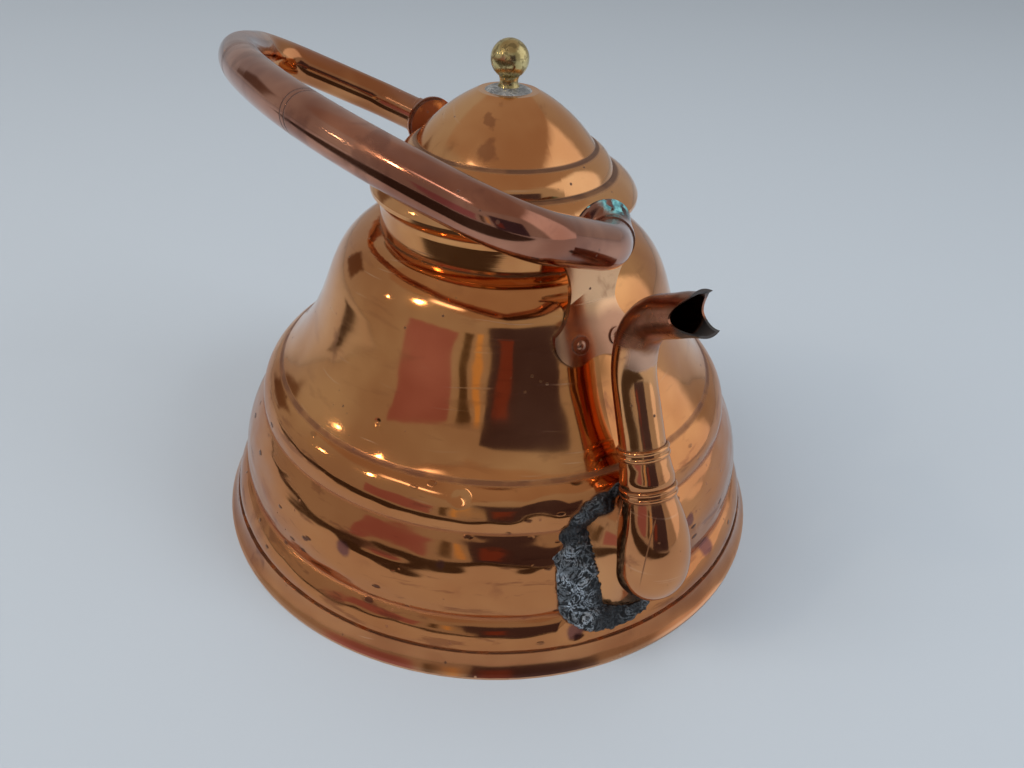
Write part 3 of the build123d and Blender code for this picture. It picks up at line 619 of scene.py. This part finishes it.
def collarBeads(name, shape, material):
    lean = math.radians(shape["lean"])
    rings = []
    for collar, radius in shape["round"].items():
        middleX, _, middleZ = middleOf(nodes[collar])
        for along in (-shape["apart"] / 2, shape["apart"] / 2):
            place = (middleX + math.sin(lean) * along, 0, middleZ + math.cos(lean) * along)
            rings.append(bead(place, lean, radius - shape["sunk"], shape["thick"]))
    join(rings, rings[0])
    bpy.ops.object.transform_apply(location=True, rotation=True, scale=True)
    rings[0].name = name
    rings[0].data.materials.clear()
    rings[0].data.materials.append(material)
    return rings[0]


spoutBeads = collarBeads("spout_collar_beads", beadShape, spoutMaterial)
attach(spoutBeads, "kettle")
print("collar beads made")


# Table
def plainMaterial(name, colour, rough):
    coat = Finish(name)
    grain = coat.noise(7.0, 3.0)
    coat.colour = coat.blend(grain.rise(0.3, 0.7) * 0.25, colour, [c * 0.93 for c in colour])
    coat.metallic = 0.0
    coat.rough = rough
    coat.height = grain * 0.00001
    return coat.surface()


def plane(name, width, height, place, material):
    bpy.ops.object.select_all(action="DESELECT")
    bpy.ops.mesh.primitive_plane_add(size=1, location=place)
    piece = bpy.context.object
    piece.name = name
    piece.scale = (width, height, 1)
    piece.data.materials.append(material)
    return piece


tableLook = {"size": 14, "colour": (0.465, 0.505, 0.550), "rough": 0.6}
paleTable = plainMaterial("paleTable", tableLook["colour"], tableLook["rough"])
plane("table", tableLook["size"], tableLook["size"], (0, 0, 0), paleTable)

# Cards that only mirrors show, for the room in the copper
lookAt = Vector((0, 0, 0.14))
cards = [  # degrees round the kettle and up, metres, and how soft and uneven the edges are
    {"name": "cardDoor", "azimuth": 76, "elevation": 15, "distance": 2.4, "width": 1.90, "height": 1.60,
     "colour": (0.060, 0.050, 0.075), "soft": 0.012, "uneven": 0.03},
    {"name": "cardCoat", "azimuth": 63, "elevation": 12, "distance": 2.2, "width": 0.38, "height": 0.72,
     "colour": (0.17, 0.060, 0.055), "soft": 0.03, "uneven": 0.30},
    {"name": "cardCloth", "azimuth": 18, "elevation": 12, "distance": 2.3, "width": 1.36, "height": 0.90,
     "colour": (0.30, 0.165, 0.215), "soft": 0.02, "uneven": 0.07},
    {"name": "cardShelf", "azimuth": 42, "elevation": 13, "distance": 2.3, "width": 0.26, "height": 1.00,
     "colour": (0.09, 0.075, 0.055), "soft": 0.03, "uneven": 0.30},
    {"name": "cardPost", "azimuth": 49, "elevation": 14, "distance": 2.35, "width": 0.15, "height": 0.85,
     "colour": (0.62, 0.46, 0.20), "soft": 0.03, "uneven": 0.15},
    {"name": "cardLeft", "azimuth": -62, "elevation": 14, "distance": 2.6, "width": 1.0, "height": 1.1,
     "colour": (0.13, 0.09, 0.07), "soft": 0.15, "uneven": 0.20},
    {"name": "cardWall", "azimuth": 150, "elevation": 22, "distance": 2.4, "width": 2.9, "height": 3.5,
     "colour": (0.86, 0.90, 0.96), "soft": 0.14, "uneven": 0.10},
    {"name": "cardStrip", "azimuth": 14, "elevation": 50, "distance": 2.0, "width": 1.00, "height": 0.17,
     "colour": (3.6, 3.4, 3.3), "soft": 0.30, "uneven": 0.10},
    {"name": "cardCeiling", "azimuth": 20, "elevation": 90, "distance": 2.3, "width": 4.6, "height": 4.6,
     "colour": (0.33, 0.28, 0.25), "soft": 0.06, "uneven": 0.06},
]
roomFloor = {
    "azimuth": 25, "edge": 0.37, "size": 3.2, "height": 0.003, "colour": (0.055, 0.045, 0.040), "soft": 0.01,
    "uneven": 0.01}


def aimed(item):  # its place round the kettle, and the turn that faces it
    azimuth, elevation = math.radians(item["azimuth"]), math.radians(item["elevation"])
    away = Vector((math.sin(azimuth) * math.cos(elevation), -math.cos(azimuth) * math.cos(elevation),
                   math.sin(elevation)))
    return lookAt + away * item["distance"], away.to_track_quat("Z", "Y").to_euler()


def glowing(name, look):  # soft and uneven towards its edges
    tree = Finish(name)
    inside = (0.5 - tree.x.size()).least(0.5 - tree.y.size()) + (tree.noise(5.0, 3.0) - 0.5) * look["uneven"]
    glow = tree.put("ShaderNodeEmission", None, {"Color": (*look["colour"], 1), "Strength": 1.0})
    clear = tree.put("ShaderNodeBsdfTransparent")
    edge = look["uneven"] * 0.3
    share = inside.rise(edge, edge + look["soft"])
    return tree.shown(tree.put("ShaderNodeMixShader", None, [share, clear, glow]))


def mirrorCard(name, width, height, place, turn, look):
    card = plane(name, width, height, place, glowing(name + "Colour", look))
    card.rotation_euler = turn
    card.visible_camera = False
    card.visible_diffuse = False
    card.visible_shadow = False


for card in cards:
    place, turn = aimed(card)
    mirrorCard(card["name"], card["width"], card["height"], place, turn, card)
floorTurn = math.radians(roomFloor["azimuth"])
floorFar = roomFloor["edge"] + roomFloor["size"] / 2
floorPlace = (math.sin(floorTurn) * floorFar, -math.cos(floorTurn) * floorFar, roomFloor["height"])
mirrorCard("cardFloor", roomFloor["size"], roomFloor["size"], floorPlace, (0, 0, floorTurn), roomFloor)
print("table and cards set")

# Light
lamps = [
    {"name": "window", "azimuth": -12, "elevation": 42, "distance": 5.0, "width": 2.6, "height": 3.2,
     "watts": 104.0, "colour": (1.0, 0.98, 0.95), "glint": False},
    {"name": "softRight", "azimuth": 128, "elevation": 38, "distance": 5.0, "width": 2.4, "height": 2.4,
     "watts": 80.0, "colour": (0.90, 0.96, 1.0), "glint": False},
    {"name": "overhead", "azimuth": 60, "elevation": 82, "distance": 1.8, "width": 0.9, "height": 0.9,
     "watts": 8.0, "colour": (0.98, 0.99, 1.0), "glint": False},
    {"name": "sparkHigh", "azimuth": -5, "elevation": 41, "distance": 1.7, "width": 0.09, "height": 0.09,
     "watts": 1.6, "colour": (1.0, 0.82, 0.56), "glint": True},
    {"name": "sparkSide", "azimuth": -24, "elevation": 26, "distance": 1.9, "width": 0.05, "height": 0.05,
     "watts": 0.35, "colour": (1.0, 0.86, 0.62), "glint": True},
]
roomLook = {"light": (0.92, 0.96, 1.0), "strength": 0.50, "shown": (0.355, 0.365, 0.370)}


def lampFrom(look):
    data = bpy.data.lights.new(look["name"], "AREA")
    data.shape = "RECTANGLE"
    data.size = look["width"]
    data.size_y = look["height"]
    data.energy = look["watts"]
    data.color = look["colour"]
    lamp = bpy.data.objects.new(look["name"], data)
    bpy.context.scene.collection.objects.link(lamp)
    lamp.location, lamp.rotation_euler = aimed(look)
    lamp.visible_glossy = look["glint"]


def room(name, look):  # the camera and mirrors see one tone, and another lights the scene
    tree = Tree(bpy.data.worlds.new(name))
    rays = [tree.put("ShaderNodeLightPath", out=ray)
            for ray in ("Is Camera Ray", "Is Glossy Ray", "Is Transmission Ray")]
    seen = rays[0].most(rays[1]).most(rays[2])
    light = tree.put("ShaderNodeBackground", None,
                     {"Color": (*look["light"], 1), "Strength": look["strength"]})
    shown = tree.put("ShaderNodeBackground", None, {"Color": (*look["shown"], 1), "Strength": 1.0})
    both = tree.put("ShaderNodeMixShader", None, [seen, light, shown])
    return tree.shown(both, "ShaderNodeOutputWorld")


for lamp in lamps:
    lampFrom(lamp)
bpy.context.scene.world = room("room", roomLook)
bpy.context.scene.view_settings.view_transform = "Standard"
print("light set")

# Camera, fitted to the photo's wall and table
cameraFit = {
    "place": (0.3961, -0.2387, 0.3867), "ahead": (-0.843, 0.537, 0), "pitch": 34.014, "roll": 3.418,
    "lens": 28.94, "sensor": 36.0, "nearest": 0.01, "farthest": 60}


def cameraFrom(name, fit):
    pitch, roll = math.radians(fit["pitch"]), math.radians(fit["roll"])
    ahead = Vector(fit["ahead"]).normalized()
    side = Vector((ahead.y, -ahead.x, 0))
    forward = math.cos(pitch) * ahead - math.sin(pitch) * Vector((0, 0, 1))
    upward = math.sin(pitch) * ahead + math.cos(pitch) * Vector((0, 0, 1))
    axisX = math.cos(roll) * side + math.sin(roll) * upward
    axisY = -math.sin(roll) * side + math.cos(roll) * upward
    data = bpy.data.cameras.new(name)
    data.lens = fit["lens"]
    data.sensor_width = fit["sensor"]
    data.clip_start = fit["nearest"]
    data.clip_end = fit["farthest"]
    camera = bpy.data.objects.new(name, data)
    bpy.context.scene.collection.objects.link(camera)
    turn = Matrix((axisX, axisY, -forward)).transposed().to_4x4()
    camera.matrix_world = Matrix.Translation(fit["place"]) @ turn
    return camera


bpy.context.scene.camera = cameraFrom("camera", cameraFit)

print("camera set")
